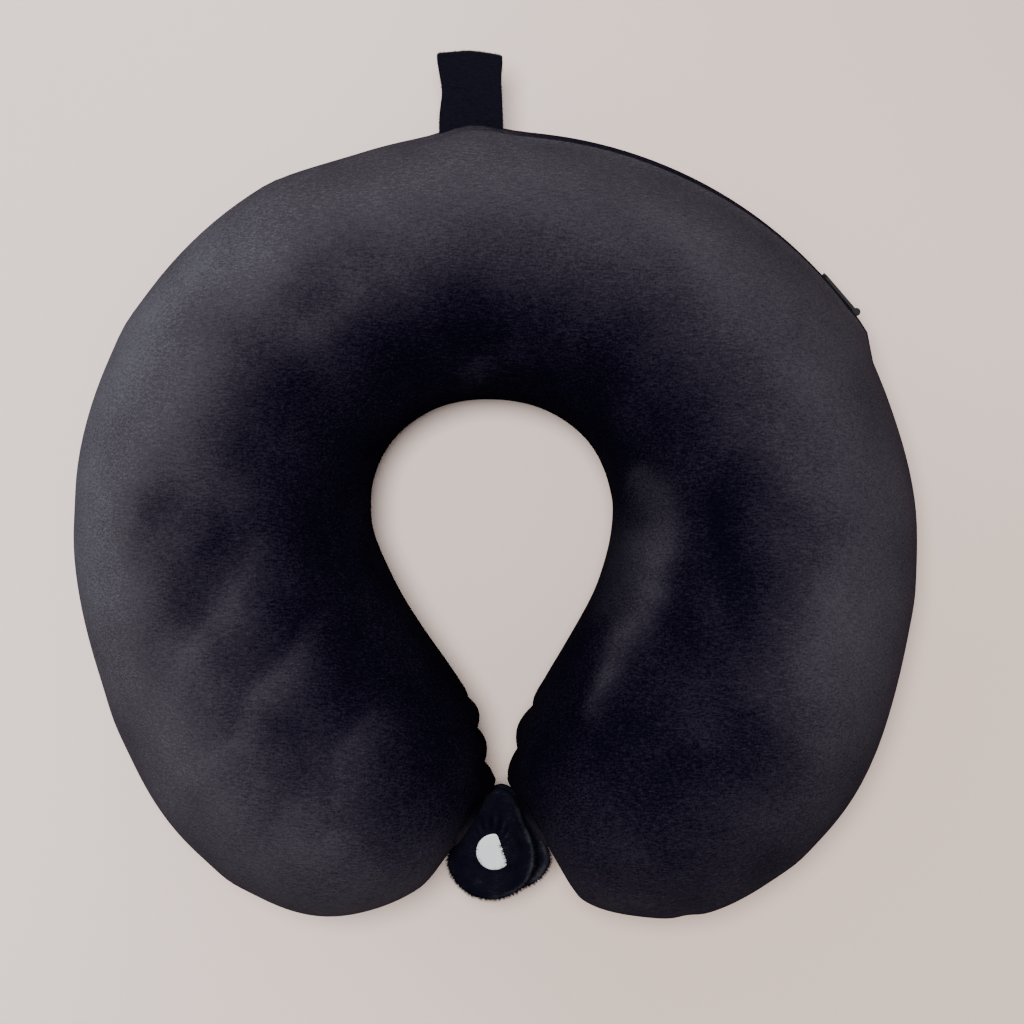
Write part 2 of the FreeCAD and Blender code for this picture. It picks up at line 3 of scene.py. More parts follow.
import bmesh
import bpy
import numpy as np
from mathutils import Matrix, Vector


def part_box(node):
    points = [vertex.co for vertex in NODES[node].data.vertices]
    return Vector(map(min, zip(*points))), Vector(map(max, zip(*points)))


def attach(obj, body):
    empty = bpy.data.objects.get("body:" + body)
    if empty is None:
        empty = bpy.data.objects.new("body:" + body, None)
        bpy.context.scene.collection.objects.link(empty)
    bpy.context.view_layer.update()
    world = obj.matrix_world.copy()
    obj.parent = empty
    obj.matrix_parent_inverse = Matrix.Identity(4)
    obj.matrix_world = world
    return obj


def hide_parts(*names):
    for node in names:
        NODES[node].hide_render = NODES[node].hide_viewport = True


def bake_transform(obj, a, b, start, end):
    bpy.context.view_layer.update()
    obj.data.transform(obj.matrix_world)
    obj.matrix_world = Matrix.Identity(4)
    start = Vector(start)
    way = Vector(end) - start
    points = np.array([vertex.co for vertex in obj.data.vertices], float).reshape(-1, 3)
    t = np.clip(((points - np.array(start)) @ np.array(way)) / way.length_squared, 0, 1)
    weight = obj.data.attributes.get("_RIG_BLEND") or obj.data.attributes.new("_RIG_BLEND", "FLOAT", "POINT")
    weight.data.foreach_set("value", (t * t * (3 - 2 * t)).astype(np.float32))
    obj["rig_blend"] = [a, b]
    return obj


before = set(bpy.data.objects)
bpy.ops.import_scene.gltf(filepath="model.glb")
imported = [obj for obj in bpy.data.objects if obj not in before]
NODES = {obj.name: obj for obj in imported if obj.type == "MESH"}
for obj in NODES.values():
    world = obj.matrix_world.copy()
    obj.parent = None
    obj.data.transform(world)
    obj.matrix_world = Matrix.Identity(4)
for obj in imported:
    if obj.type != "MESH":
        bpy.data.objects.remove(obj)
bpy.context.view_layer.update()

MM = 0.001
rng = np.random.default_rng(7)


# ---------------------------------------------------------------- camera, light, floor

SENSOR_WIDTH = 36.0
CAMERA_HEIGHT = 0.95
OUTLINE_HEIGHT = 0.052     # the outline's height above the floor
VIEW_WIDTH = 0.3658        # what the square picture takes in at that height
VIEW_CENTRE = (0.0066, -0.0099)
VIEW_ROLL = math.radians(-1.27)
FLOOR_HALF = 3.0
FLOOR_LIGHT_FALLOFF = 1.6          # how fast the floor's painted light falls off from left to right, per metre
# the floor's own warm tone, with painted light that is brightest on the left
FLOOR_TONE_AND_PAINTED_LIGHT = ((0.2, (0.99, 0.83, 0.79)), (0.8, (0.80, 0.63, 0.555)))


def make_camera():
    data = bpy.data.cameras.new("camera")
    data.sensor_width = SENSOR_WIDTH
    data.lens = SENSOR_WIDTH * (CAMERA_HEIGHT - OUTLINE_HEIGHT) / VIEW_WIDTH
    data.clip_start = 0.01
    camera = bpy.data.objects.new("camera", data)
    camera.location = (*VIEW_CENTRE, CAMERA_HEIGHT)
    camera.rotation_euler = (0.0, 0.0, VIEW_ROLL)
    bpy.context.scene.collection.objects.link(camera)
    bpy.context.scene.camera = camera


def area_light(name, place, size, watts, tint):
    data = bpy.data.lights.new(name, "AREA")
    data.shape = "DISK"
    data.size = size
    data.energy = watts
    data.color = tint
    lamp = bpy.data.objects.new(name, data)
    lamp.location = place
    aim = Vector((0.0, 0.0, OUTLINE_HEIGHT))
    lamp.rotation_euler = (aim - Vector(place)).to_track_quat("-Z", "Y").to_euler()
    bpy.context.scene.collection.objects.link(lamp)


def make_light():
    world = bpy.data.worlds.new("studio")
    world.use_nodes = True
    background = world.node_tree.nodes["Background"]
    background.inputs["Color"].default_value = (1.0, 0.97, 0.95, 1.0)
    background.inputs["Strength"].default_value = 0.47
    bpy.context.scene.world = world
    area_light("overhead", (-0.07, 0.07, 1.5), 0.34, 27.0, (1.0, 0.985, 0.965))
    area_light("window", (-1.1, 0.9, 0.6), 0.9, 4.0, (0.90, 0.95, 1.0))


def make_floor():
    mesh = bpy.data.meshes.new("floor")
    corners = [(x * FLOOR_HALF, y * FLOOR_HALF, 0) for x, y in ((-1, -1), (1, -1), (1, 1), (-1, 1))]
    mesh.from_pydata(corners, [], [(0, 1, 2, 3)])
    floor = bpy.data.objects.new("floor", mesh)
    bpy.context.scene.collection.objects.link(floor)
    nodes = Nodes("floor")
    place = nodes.add("ShaderNodeTexCoord").outputs["Object"]
    noise = nodes.add("ShaderNodeTexNoise", Scale=2.2, Detail=1.0)
    nodes.link(place, noise.inputs["Vector"])
    split = nodes.add("ShaderNodeSeparateXYZ")
    nodes.link(place, split.inputs["Vector"])
    # painted light: the floor's colour is brighter to the left and darker to the right
    across = nodes.maths("MULTIPLY", split.outputs["X"], FLOOR_LIGHT_FALLOFF)
    shade = nodes.maths("ADD", noise.outputs["Fac"], across)
    colour = nodes.ramp(shade, FLOOR_TONE_AND_PAINTED_LIGHT)
    nodes.link(colour, nodes.shader.inputs["Base Color"])
    nodes.set("Roughness", 0.7)
    nodes.set("Specular IOR Level", 0.2)
    mesh.materials.append(nodes.material)


# ---------------------------------------------------------------- materials

class Nodes:
    """A material under construction: its node tree and its one Principled shader."""

    def __init__(self, name):
        self.material = bpy.data.materials.new(name)
        self.material.use_nodes = True
        self.tree = self.material.node_tree
        self.shader = self.tree.nodes["Principled BSDF"]

    def add(self, kind, **values):
        node = self.tree.nodes.new(kind)
        for key, value in values.items():
            node.inputs[key].default_value = value
        return node

    def link(self, source, target):
        self.tree.links.new(source, target)

    def set(self, name, value):
        self.shader.inputs[name].default_value = value

    def attribute(self, name):
        node = self.tree.nodes.new("ShaderNodeAttribute")
        node.attribute_name = name
        return node

    def ramp(self, factor, stops):
        node = self.tree.nodes.new("ShaderNodeValToRGB")
        elements = node.color_ramp.elements
        while len(elements) < len(stops):
            elements.new(0.5)
        for element, (position, colour) in zip(elements, stops):
            element.position = position
            element.color = (*colour, 1.0)
        self.link(factor, node.inputs["Fac"])
        return node.outputs["Color"]

    def maths(self, operation, first, second):
        node = self.tree.nodes.new("ShaderNodeMath")
        node.operation = operation
        for socket, value in zip(node.inputs, (first, second)):
            if isinstance(value, (int, float)):
                socket.default_value = value
            else:
                self.link(value, socket)
        return node.outputs[0]

    def bump(self, height, strength, distance):
        node = self.add("ShaderNodeBump", Strength=strength, Distance=distance)
        self.link(height, node.inputs["Height"])
        self.link(node.outputs["Normal"], self.shader.inputs["Normal"])

    def noise(self, scale, detail, turn=0.0):
        """Noise fixed to the cloth, with its scale along each axis in grains per metre."""
        mapping = self.tree.nodes.new("ShaderNodeMapping")
        mapping.inputs["Scale"].default_value = scale
        mapping.inputs["Rotation"].default_value = (0.0, 0.0, turn)
        self.link(self.attribute("cloth").outputs["Vector"], mapping.inputs["Vector"])
        noise = self.tree.nodes.new("ShaderNodeTexNoise")
        noise.inputs["Scale"].default_value = 1.0
        noise.inputs["Detail"].default_value = detail
        self.link(mapping.outputs["Vector"], noise.inputs["Vector"])
        return noise.outputs["Fac"]


# Colours of the velour as stops, from painted shade at 0 to painted light at 1
COVER_SHADE_TO_LIGHT = ((0.0, (0.0016, 0.0012, 0.0042)), (0.12, (0.0036, 0.0028, 0.0078)),
                 (0.35, (0.015, 0.0125, 0.0205)), (0.75, (0.046, 0.042, 0.053)),
                 (1.0, (0.086, 0.088, 0.110)))
STRAP_SHADE_TO_LIGHT = ((0.0, (0.0028, 0.0028, 0.0062)), (0.5, (0.0075, 0.0075, 0.0125)),
                 (1.0, (0.03, 0.03, 0.035)))
TAB_SHADE_TO_LIGHT = ((0.0, (0.0016, 0.0016, 0.0046)), (0.45, (0.0048, 0.0048, 0.0095)),
               (0.75, (0.018, 0.018, 0.025)), (1.0, (0.045, 0.045, 0.055)))
KNIT_DARK, KNIT_LIGHT = (0.07, 0.07, 0.08), (0.16, 0.16, 0.17)
FINE_GRAIN = (1500.0, 1500.0, 1500.0)
STREAK_GRAIN = (420.0, 1900.0, 900.0)
STREAK_TURN = math.radians(35)


def velour(name, stops, sheen, patch=0.24, grain=0.85, patch_scale=42.0):
    """Short brushed pile. Its colour carries painted shade, near black, and painted light, grey.
    A point attribute gives which, from 0 to 1, with brushing marks in it."""
    nodes = Nodes(name)
    fine = nodes.noise(FINE_GRAIN, 1.0)
    streak = nodes.noise(STREAK_GRAIN, 2.0, STREAK_TURN)
    pile = nodes.maths("MULTIPLY", nodes.maths("ADD", fine, streak), 0.5)
    broad = nodes.noise((patch_scale,) * 3, 3.0)
    shade = nodes.attribute("painted_light_and_brushing").outputs["Fac"]
    for texture, strength in ((broad, patch), (pile, grain)):
        offset = nodes.maths("MULTIPLY", nodes.maths("SUBTRACT", texture, 0.5), strength)
        shade = nodes.maths("ADD", shade, offset)
    nodes.link(nodes.ramp(shade, stops), nodes.shader.inputs["Base Color"])
    nodes.set("Roughness", 0.95)
    nodes.set("Specular IOR Level", 0.0)
    nodes.set("Sheen Weight", sheen)
    nodes.set("Sheen Roughness", 0.35)
    nodes.set("Sheen Tint", (0.74, 0.72, 0.98, 1.0))
    nodes.bump(pile, 0.6, 0.0008)
    return nodes.material


def plastic(name, colour, roughness, gloss=0.5):
    nodes = Nodes(name)
    noise = nodes.add("ShaderNodeTexNoise", Scale=900.0, Detail=2.0)
    nodes.link(nodes.add("ShaderNodeTexCoord").outputs["Object"], noise.inputs["Vector"])
    darker = tuple(0.94 * c for c in colour)
    mottled = nodes.ramp(noise.outputs["Fac"], [(0.3, darker), (0.7, colour)])
    nodes.link(mottled, nodes.shader.inputs["Base Color"])
    nodes.set("Roughness", roughness)
    nodes.set("Specular IOR Level", gloss)
    nodes.bump(noise.outputs["Fac"], 0.06, 0.0002)
    return nodes.material


def metal(name, colour, roughness):
    nodes = Nodes(name)
    noise = nodes.add("ShaderNodeTexNoise", Scale=1400.0, Detail=3.0)
    nodes.link(nodes.add("ShaderNodeTexCoord").outputs["Object"], noise.inputs["Vector"])
    worn = tuple(0.7 * c for c in colour)
    mottled = nodes.ramp(noise.outputs["Fac"], [(0.35, worn), (0.65, colour)])
    nodes.link(mottled, nodes.shader.inputs["Base Color"])
    nodes.set("Metallic", 1.0)
    nodes.set("Roughness", roughness)
    nodes.bump(noise.outputs["Fac"], 0.12, 0.0001)
    return nodes.material


def woven(name, dark, light, pitch):
    """A plain weave or knit; pitch is its thread spacing in metres."""
    nodes = Nodes(name)
    place = nodes.add("ShaderNodeTexCoord").outputs["Object"]
    waves = []
    for direction in ("DIAGONAL", "Z"):
        wave = nodes.add("ShaderNodeTexWave", Scale=1.0 / (20.0 * pitch), Distortion=0.6)
        wave.bands_direction = direction
        nodes.link(place, wave.inputs["Vector"])
        waves.append(wave.outputs["Fac"])
    weave = nodes.maths("MULTIPLY", waves[0], waves[1])
    nodes.link(nodes.ramp(weave, [(0.0, dark), (1.0, light)]), nodes.shader.inputs["Base Color"])
    nodes.set("Roughness", 0.8)
    nodes.set("Specular IOR Level", 0.2)
    nodes.bump(weave, 0.5, 0.0003)
    return nodes.material


def foam(name):
    nodes = Nodes(name)
    cells = nodes.add("ShaderNodeTexVoronoi", Scale=650.0)
    nodes.link(nodes.add("ShaderNodeTexCoord").outputs["Object"], cells.inputs["Vector"])
    stops = [(0.0, (0.55, 0.52, 0.44)), (0.6, (0.86, 0.83, 0.74))]
    nodes.link(nodes.ramp(cells.outputs["Distance"], stops), nodes.shader.inputs["Base Color"])
    nodes.set("Roughness", 0.9)
    nodes.bump(cells.outputs["Distance"], 0.6, 0.0005)
    return nodes.material


# ---------------------------------------------------------------- meshes

SAME_PLACE = 2e-6          # metres within which points are one
NO_LENGTH = 1e-7


def new_piece(name, points, faces):
    mesh = bpy.data.meshes.new(name)
    mesh.from_pydata(np.asarray(points).tolist(), [], [list(map(int, f)) for f in faces])
    mesh.update()
    piece = bpy.data.objects.new(name, mesh)
    bpy.context.scene.collection.objects.link(piece)
    return piece


def paint(piece, name, values):
    attribute = piece.data.attributes.new(name, "FLOAT", "POINT")
    attribute.data.foreach_set("value", np.asarray(values, np.float32))


def places(piece):
    points = np.zeros(len(piece.data.vertices) * 3, np.float32)
    piece.data.vertices.foreach_get("co", points)
    return points.reshape(-1, 3)


def finish_cloth(piece, material):
    """Smooth shading, and each point's rest place kept so that the pile moves with it."""
    piece.data.attributes.new("cloth", "FLOAT_VECTOR", "POINT").data.foreach_set(
        "vector", places(piece).ravel())
    piece.data.polygons.foreach_set("use_smooth", [True] * len(piece.data.polygons))
    piece.data.materials.append(material)
    piece.data.update()


def grid_quads(index):
    """The corners of each face between neighbouring rows and columns of a grid of numbers."""
    corners = (index[:-1, :-1], index[1:, :-1], index[1:, 1:], index[:-1, 1:])
    return np.stack(corners, -1).reshape(-1, 4)


def shell(name, outer, inner, painted_light_and_brushing, closed=False):
    """A closed shell between two grids of points in metres. Closed grids wrap round in their
    second direction. Borders stay sharp, so that neighbouring panels shade as one."""
    rows, columns = outer.shape[:2]
    count = rows * columns
    index = np.arange(count).reshape(rows, columns)
    if closed:
        index = np.hstack([index, index[:, :1]])
    quads = grid_quads(index)
    faces = [quads, quads[:, ::-1] + count]
    if closed:
        borders = [index[0], index[-1][::-1]]
    else:
        round_it = (index[:, 0], index[-1, 1:], index[-2::-1, -1], index[0, -2::-1])
        borders = [np.concatenate(round_it)]
    for border in borders:
        here, there = border[:-1], border[1:]
        faces.append(np.stack([there, here, here + count, there + count], -1))
    points = np.concatenate([outer.reshape(-1, 3), inner.reshape(-1, 3)])
    piece = new_piece(name, points, np.concatenate(faces))
    paint(piece, "painted_light_and_brushing", np.concatenate([painted_light_and_brushing.ravel(), painted_light_and_brushing.ravel()]))
    edges = {frozenset(pair) for border in borders
             for pair in zip(border[:-1].tolist(), border[1:].tolist())}
    edges |= {frozenset(i + count for i in pair) for pair in edges}
    sharp = [frozenset(edge.vertices) in edges for edge in piece.data.edges]
    piece.data.attributes.new("sharp_edge", "BOOLEAN", "EDGE").data.foreach_set("value", sharp)
    weld(piece)
    return piece


def weld(piece):
    work = bmesh.new()
    work.from_mesh(piece.data)
    bmesh.ops.remove_doubles(work, verts=work.verts, dist=SAME_PLACE)
    bmesh.ops.dissolve_degenerate(work, edges=work.edges, dist=NO_LENGTH)
    bmesh.ops.recalc_face_normals(work, faces=work.faces)
    work.to_mesh(piece.data)
    work.free()
    piece.data.update()


def grid_normals(grid):
    normal = np.cross(np.gradient(grid, axis=1), np.gradient(grid, axis=0))
    size = np.linalg.norm(normal, axis=2, keepdims=True)
    return normal / np.maximum(size, 1e-12)


def rise(value, low, high):
    t = np.clip((value - low) / (high - low), 0.0, 1.0)
    return t * t * (3 - 2 * t)


def bell(value, centre, width):
    return np.exp(-((value - centre) / width) ** 2)


# ---------------------------------------------------------------- the padded tube

# Ribs across the padded tube, from the middle of the back to an arm's tip, in millimetres:
# hole x, hole y, rim x, rim y, half height, middle height.
RIGHT_RIBS = [
    (0.0, 30.8, 0.0, 125.6, 50.0, 46.0),
    (22.3, 25.0, 70.2, 109.0, 50.5, 46.5),
    (37.8, 9.2, 127.0, 60.8, 53.5, 49.5),
    (42.4, -12.6, 149.8, -10.0, 56.5, 52.5),
    (38.3, -30.8, 141.2, -75.0, 59.0, 55.0),
    (33.0, -42.2, 119.1, -121.1, 60.0, 56.0),
    (24.0, -57.2, 80.2, -150.4, 59.5, 55.5),
    (12.8, -76.0, 50.0, -154.2, 53.0, 54.0),
    (6.4, -91.0, 28.0, -147.4, 41.0, 53.0),
    (3.7, -104.4, 16.6, -130.0, 22.0, 52.0),
]
LEFT_RIBS = [
    (0.0, 30.8, 0.0, 125.6, 50.0, 46.0),
    (22.8, 26.6, 71.9, 112.4, 50.5, 46.5),
    (39.8, 10.4, 128.4, 60.8, 53.5, 49.5),
    (43.4, -12.0, 149.2, -11.0, 56.5, 52.5),
    (37.2, -30.0, 137.0, -75.0, 59.0, 55.0),
    (30.9, -41.6, 114.8, -119.4, 60.0, 56.0),
    (21.0, -57.2, 80.6, -146.4, 59.5, 55.5),
    (9.8, -75.5, 52.0, -150.8, 53.0, 54.0),
    (5.4, -91.0, 28.5, -142.0, 41.0, 53.0),
    (2.7, -104.4, 16.2, -129.0, 22.0, 52.0),
]
LAST_RIB = len(RIGHT_RIBS) - 1
TIP_SWELL = 2.4            # how far a tip swells past its last rib
SECTION_POWER = 2.12       # 2 is an ellipse, and more is boxier
SWELL_STEPS = 12
FLOOR_SOFTNESS = 1.6
CLOTH_LIMIT = (0.5, 1.3)   # the most that the simulated cloth may lie in and stand off
COVER_THICK = 1.6
LINER_DEPTH = 3.2
LINER_THICK = 0.6
FOAM_DEPTH = 4.6
FOAM_THICK = 6.0
SEAM_HEIGHT = 48.0
ZIP_CENTRE = np.array([0.0, -31.1])
ZIP_RADIUS = 156.7
ZIP_HEIGHT = 44.0
ZIP_GAP = 5.6              # from the zip's middle to each panel's edge
ZIP_START = math.radians(31.0)
ZIP_END = math.radians(116.5)
FACING_HEIGHT = 65.0       # where the strip above the zip is sewn to the top panel
ROWS = 72
HALF_STATIONS = 150
TIP_STATION = 0.25         # stations that a tip's swelling counts for
SEAM_DEPTH = 1.5
GATHER_HEIGHT = 1.15
CREASE_DEPTH = 1.3
OVER_STRAP = 2.9           # how far the cover stands up over the strap's root
HOLLOW_DEPTH = 2.8         # of the dents that the tabs swing past
HOLLOW_HEIGHTS = (69.0, 27.0)
PULL_DENT = 2.6
PULL_DENT_TURN = 117.0     # degrees
FILLING_GIVES = 2.6        # how far the filling gives way behind the zip
CORE_AROUND = 64


def spline(points, at):
    """A curve through points with no jump in curvature; at counts points from the first."""
    points = np.asarray(points, float)
    count = len(points)
    system = np.eye(count) * 4 + np.eye(count, k=1) + np.eye(count, k=-1)
    system[0, 0] = system[-1, -1] = 2
    pull = 3 * np.vstack([points[1] - points[0], points[2:] - points[:-2], points[-1] - points[-2]])
    slope = np.linalg.solve(system, pull)
    index = np.clip(np.floor(at).astype(int), 0, count - 2)
    f = (at - index)[:, None]
    a, b = points[index], points[index + 1]
    p, q = slope[index], slope[index + 1]
    return a + p * f + (3 * (b - a) - 2 * p - q) * f**2 + (2 * (a - b) + p + q) * f**3


def stations():
    """Positions along the route, in ribs from the middle of the back: from -LAST_RIB at the
    left tip to LAST_RIB at the right one. There is one at 0."""
    steps = np.linspace(0.0, 1.0, HALF_STATIONS)
    half = LAST_RIB * (0.72 * steps + 0.28 * np.sin(steps * math.pi / 2))
    return np.concatenate([-half[:0:-1], half])


class Tube:
    """The padded tube's sections, from the left tip to the right one."""

    def __init__(self, depth=0.0):
        at = stations()
        left = [(-hx, hy, -rx, ry, high, mid) for hx, hy, rx, ry, high, mid in LEFT_RIBS]
        ribs = spline(np.array(left[:0:-1] + RIGHT_RIBS), at + LAST_RIB)
        hole, rim = ribs[:, 0:2], ribs[:, 2:4]
        rim = self.on_zip_circle(hole, rim)
        across = rim - hole
        length = np.linalg.norm(across, axis=1)
        across = across / length[:, None]
        centre = (hole + rim) / 2
        half = length / 2 - depth
        high, mid = ribs[:, 4] - depth, ribs[:, 5]
        swell = np.linspace(0, math.pi / 2, SWELL_STEPS + 1)[1:]
        heading = np.stack([across[:, 1], -across[:, 0]], 1)
        parts = []
        for end, sign in ((0, -1.0), (-1, 1.0)):
            shift = np.sin(swell)[:, None] * (TIP_SWELL - depth) * sign * heading[end]
            shrink = np.cos(swell)
            block = [centre[end] + shift, np.repeat(across[end][None], len(swell), 0),
                     half[end] * shrink, high[end] * shrink, np.repeat(mid[end], len(swell)),
                     at[end] + sign * TIP_STATION * np.sin(swell)]
            parts.append([part[::-1] if end == 0 else part for part in block])
        core = [centre, across, half, high, mid, at]
        joined = [np.concatenate(three) for three in zip(parts[0], core, parts[1])]
        self.centre, self.across, self.half, self.high, self.mid, self.at = joined
        self.depth = depth
        toward = self.centre + self.across * self.half[:, None] - ZIP_CENTRE
        self.turn = np.arctan2(toward[:, 1], toward[:, 0])

    @staticmethod
    def on_zip_circle(hole, rim):
        """Moves the rim onto the circle that the zip's slider follows."""
        across = rim - hole
        across = across / np.linalg.norm(across, axis=1)[:, None]
        offset = hole - ZIP_CENTRE
        along = (offset * across).sum(1)
        reach = -along + np.sqrt(along**2 - (offset**2).sum(1) + ZIP_RADIUS**2)
        circle = hole + across * reach[:, None]
        turn = np.degrees(np.arctan2(*(rim - ZIP_CENTRE).T[::-1]))
        weight = rise(turn, 29.0, 31.0) * (1 - rise(turn, 106.0, 122.0))
        return rim + (circle - rim) * weight[:, None]

    def angle_at(self, height, hole_side):
        """The section angle at which the surface passes a height; 0 is the rim."""
        share = np.clip((height - self.mid) / np.maximum(self.high, 1e-6), -0.6, 0.6)
        angle = np.arcsin(np.sign(share) * np.abs(share) ** (SECTION_POWER / 2))
        return math.pi - angle if hole_side else angle

    def grid(self, start, end, rows=ROWS):
        """Points in millimetres for section angles from start to end, given per station."""
        t = np.linspace(0, 1, rows)
        angle = start[:, None] * (1 - t) + end[:, None] * t
        power = 2.0 / SECTION_POWER
        cos = np.sign(np.cos(angle)) * np.abs(np.cos(angle)) ** power
        sin = np.sign(np.sin(angle)) * np.abs(np.sin(angle)) ** power
        points = np.zeros((len(self.half), rows, 3))
        flat = (self.half[:, None] * cos)[..., None] * self.across[:, None]
        points[..., 0:2] = self.centre[:, None] + flat
        height = self.mid[:, None] + self.high[:, None] * sin
        points[..., 2] = self.depth + FLOOR_SOFTNESS * np.logaddexp(
            0, (height - self.depth) / FLOOR_SOFTNESS)
        return points, angle

    def in_zip(self, soft=math.radians(1.2)):
        begun = rise(self.turn, ZIP_START - soft, ZIP_START)
        return begun * (1 - rise(self.turn, ZIP_END, ZIP_END + soft))


AROUND = 64                # points round the simulated cloth
WAVES = 14                 # finest ripple kept from it, in waves round the tube
FRAMES = 20
PRESSURE = 4.0


def simulate_cloth(tube):
    """How far a velour tube, sewn down along its seams and blown up by its filling, stands off
    the plain one: one Fourier series per station, in millimetres along the normal."""
    angle = np.arange(AROUND) / AROUND * math.tau
    start = np.zeros_like(tube.half)
    body = slice(SWELL_STEPS - 2, len(tube.half) - SWELL_STEPS + 2)
    grid, _ = tube.grid(start, start + angle[-1], AROUND)
    grid = grid[body]
    rows = len(grid)
    index = np.arange(rows * AROUND).reshape(rows, AROUND)
    index = np.hstack([index, index[:, :1]])
    cloth = new_piece("cloth_form", grid.reshape(-1, 3) * MM, grid_quads(index))
    height = grid[..., 2]
    held = np.maximum(bell(height, SEAM_HEIGHT, 2.2) > 0.4, height < 2.0)
    on_rim = (tube.in_zip()[body, None] > 0.5) & (np.cos(angle) > 0.5)
    held = held | on_rim & (height < FACING_HEIGHT + 1)
    held[0] = held[-1] = True
    pins = cloth.vertex_groups.new(name="sewn")
    pins.add(np.flatnonzero(held.ravel()).tolist(), 1.0, "REPLACE")
    # gathered fabric by the inner seam towards the tips, and a little ease elsewhere
    at = np.abs(tube.at[body, None])
    ease = 0.25 + 0.75 * rise(-np.cos(angle), -0.2, 0.7) * rise(at, 5.0, 6.6)
    eased = cloth.vertex_groups.new(name="eased")
    for number, weight in enumerate((ease + 0 * height).ravel().tolist()):
        eased.add([number], weight, "REPLACE")
    sim = cloth.modifiers.new("cloth", "CLOTH").settings
    sim.quality = 6
    sim.mass = 0.15
    sim.tension_stiffness = sim.compression_stiffness = 12.0
    sim.shear_stiffness = 6.0
    sim.bending_stiffness = 0.6
    sim.use_pressure = True
    sim.uniform_pressure_force = PRESSURE
    sim.effector_weights.gravity = 0.0
    sim.vertex_group_mass = "sewn"
    sim.vertex_group_shrink = "eased"
    sim.shrink_min = 0.0
    sim.shrink_max = -0.05
    scene = bpy.context.scene
    cloth.modifiers["cloth"].point_cache.frame_start = 1
    cloth.modifiers["cloth"].point_cache.frame_end = FRAMES
    for number in range(1, FRAMES + 1):
        scene.frame_set(number)
    seen = cloth.evaluated_get(bpy.context.evaluated_depsgraph_get())
    moved = np.zeros(rows * AROUND * 3, np.float32)
    seen.data.vertices.foreach_get("co", moved)
    scene.frame_set(1)
    bpy.data.objects.remove(cloth)
    offset = ((moved.reshape(grid.shape) / MM - grid) * grid_normals(grid)).sum(2)
    limit = np.where(offset < 0, *CLOTH_LIMIT)
    offset = limit * np.tanh(offset / limit)
    kernel = np.array([0.25, 0.5, 0.25])
    for _ in range(3):
        offset = np.apply_along_axis(np.convolve, 0, offset, kernel, "same")
    whole = np.zeros((len(tube.half), AROUND))
    from_end = np.minimum(np.arange(rows), np.arange(rows)[::-1])
    whole[body] = offset * rise(from_end, 0, 8)[:, None]
    return np.fft.rfft(whole, axis=1)[:, :WAVES] / AROUND


def ripple(series, angle):
    """The simulated cloth's offset at each point's section angle."""
    total = np.real(series[:, :1]) * np.ones_like(angle)
    for wave in range(1, series.shape[1]):
        total += 2 * np.real(series[:, wave:wave + 1] * np.exp(1j * wave * angle))
    return np.clip(total, -CLOTH_LIMIT[0], CLOTH_LIMIT[1])


def from_bearing(bearing, middle):
    """Degrees from a middle bearing, between -180 and 180."""
    return (bearing - middle + 180.0) % 360.0 - 180.0


# small unevenness of the rim: bearing in degrees, width in degrees, height in millimetres
UNEVEN_RIM = (
    (-62.0, 1.6, -0.8), (118.0, 2.4, 0.5), (145.0, 3.0, 0.6), (-45.0, 3.0, 0.5),
    (-5.0, 3.5, 0.4), (170.0, 4.0, -0.5), (200.0, 4.0, 0.6), (228.0, 3.0, 0.7),
)


def sculpt(tube, points, angle):
    """Seams, gathers, the fold over the strap's root and the zip's kink, as moves along the
    surface's normal in millimetres."""
    normal = grid_normals(points)
    x, y, z = points[..., 0], points[..., 1], points[..., 2]
    at = tube.at[:, None]
    turn = np.degrees(tube.turn)[:, None]
    hole_side = rise(-np.cos(angle), 0.2, 0.8)
    rim_side = rise(np.cos(angle), 0.5, 0.9)
    tip = rise(np.abs(at), 5.6, 7.2)
    zip_here = tube.in_zip()[:, None]
    move = -SEAM_DEPTH * bell(z, SEAM_HEIGHT, 2.6) * (1 - zip_here * rim_side)
    # gathers where the inner seam runs to the tips
    phase = np.where(at > 0, (y + 86.5) / 15.3, (y + 81.0) / 12.0)
    gather = 2 * np.abs(np.cos(phase * math.pi)) - 1
    fade = rise(-y, 70.0, 80.0) * (1 - rise(-y, 110.0, 116.0))
    move += GATHER_HEIGHT * gather * hole_side * tip * fade * bell(z, SEAM_HEIGHT, 22.0)
    # the facing above the zip, sewn on with a crease
    crease = rim_side * rise(turn, 27.0, 34.0) * (1 - rise(turn, 88.0, 104.0))
    move += crease * (-CREASE_DEPTH * bell(z, FACING_HEIGHT, 1.5)
                      + 1.0 * bell(z, FACING_HEIGHT + 3.6, 2.4)
                      + 0.5 * bell(z, FACING_HEIGHT - 6.0, 5.0))
    move += 0.6 * rim_side * zip_here * bell(z, 54.0, 5.0)
    # past the zip's end the rim drops in
    past = math.degrees(ZIP_START) - turn
    move += rim_side * (-1.7 * rise(past, 0.0, 4.0) * (1 - rise(past, 8.0, 26.0))
                        + 0.5 * bell(turn, 32.5, 1.6))
    # room for the zip's pull at the far end, and for the two tabs to swing between the tips
    pull_room = bell(turn, PULL_DENT_TURN, 5.5) * bell(z, ZIP_HEIGHT - 1.0, 7.0)
    move += -PULL_DENT * rim_side * pull_room
    face = rise(np.abs(at), 7.9, 8.9) * rise(-y, 107.0, 113.0)
    move += -HOLLOW_DEPTH * face * sum(bell(z, height, 13.0) for height in HOLLOW_HEIGHTS)
    # the fold over the strap's root
    over = bell(x, STRAP_X, 11.0) * rise(y, 112.0, 124.0)
    move += OVER_STRAP * over * rise(z, 46.0, 58.0) * (1 - rise(z, 72.0, 88.0))
    for place, width, height in UNEVEN_RIM:
        move += height * bell(from_bearing(turn, place), 0.0, width) * rim_side * (1 - zip_here)
    return points + normal * move[..., None]


